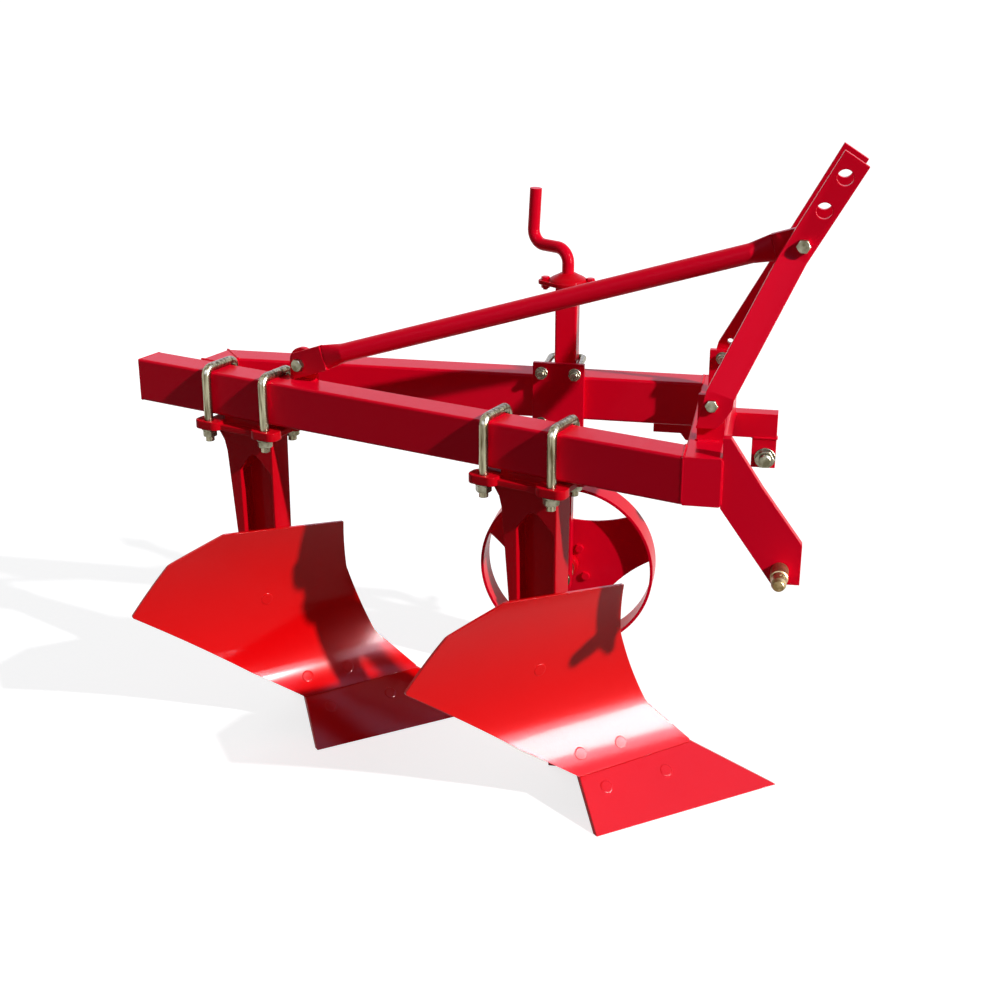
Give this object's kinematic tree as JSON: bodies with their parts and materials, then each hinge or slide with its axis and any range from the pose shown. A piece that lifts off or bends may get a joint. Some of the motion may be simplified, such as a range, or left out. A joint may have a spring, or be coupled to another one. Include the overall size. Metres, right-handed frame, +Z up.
{
  "type": "mounted mouldboard plough",
  "caption": "Mounted mouldboard plough on a welded box-section frame, with a bent-bar headstock and stay, cast standards held by U-bolts, and a screw-set steel depth wheel.",
  "frame": {"origin": "middle of the bounding box's underside, on the ground that the share edges stand on", "axes": "+X the way the plough travels, +Y to its left, +Z up"},
  "size_m": [1.2944, 0.6926, 1.129],
  "materials": {
    "frame_enamel": "gloss crimson enamel over welded steel and castings",
    "board_enamel": "gloss orange-red enamel on the soil-turning plates",
    "zinc_plate": "bright zinc plate with a faint green tint",
    "yellow_passivate": "yellow-passivated zinc"
  },
  "bodies": {
    "frame": {"main_beam": "frame_enamel", "main_beam_cap": "frame_enamel", "cross_beam": "frame_enamel", "cross_beam_cap_right": "frame_enamel", "cross_beam_cap_left": "frame_enamel", "side_beam": "frame_enamel", "stub_beam": "frame_enamel", "front_standard": "frame_enamel", "front_u_bolts": "zinc_plate", "front_u_bolt_nuts": "zinc_plate", "front_mouldboard": "board_enamel", "front_share": "board_enamel", "front_landside": "frame_enamel", "front_frog": "frame_enamel", "rear_standard": "frame_enamel", "rear_u_bolts": "zinc_plate", "rear_u_bolt_nuts": "zinc_plate", "rear_mouldboard": "board_enamel", "rear_share": "board_enamel", "rear_landside": "frame_enamel", "rear_frog": "frame_enamel", "mast_lug_right": "frame_enamel", "mast_lug_left": "frame_enamel", "mast_bar_right": "frame_enamel", "mast_bar_left": "frame_enamel", "mast_foot_bolts": "zinc_plate", "mast_stay_bolt": "zinc_plate", "mast_stay": "frame_enamel", "stay_lug": "frame_enamel", "stay_bolt": "zinc_plate", "right_hitch_plate": "frame_enamel", "right_hitch_pin": "yellow_passivate", "left_hitch_arm": "frame_enamel", "left_hitch_stiffener": "frame_enamel", "left_hitch_plate": "frame_enamel", "left_hitch_pin": "yellow_passivate", "wheel_clamp_plate": "frame_enamel", "wheel_clamp_bolts": "zinc_plate", "wheel_clamp_nuts": "zinc_plate", "wheel_post": "frame_enamel", "post_flange": "frame_enamel", "post_flange_bolts": "frame_enamel", "crank": "frame_enamel"},
    "wheel_leg": {"wheel_leg": "frame_enamel", "wheel_axle": "zinc_plate"},
    "wheel": {"wheel_rim": "frame_enamel", "wheel_disc": "frame_enamel", "wheel_hub": "frame_enamel", "hub_bolts": "zinc_plate"}
  },
  "joints": [
    {"name": "wheel_depth", "type": "slide", "parent": "frame", "child": "wheel_leg", "axis": [0, 0, 1], "range_m": [-0.085, 0.1]},
    {"name": "wheel_spin", "type": "hinge", "parent": "wheel_leg", "child": "wheel", "pos_m": [0.14211, 0.29526, 0.259], "axis": [0, 1, 0], "continuous": true}
  ]
}
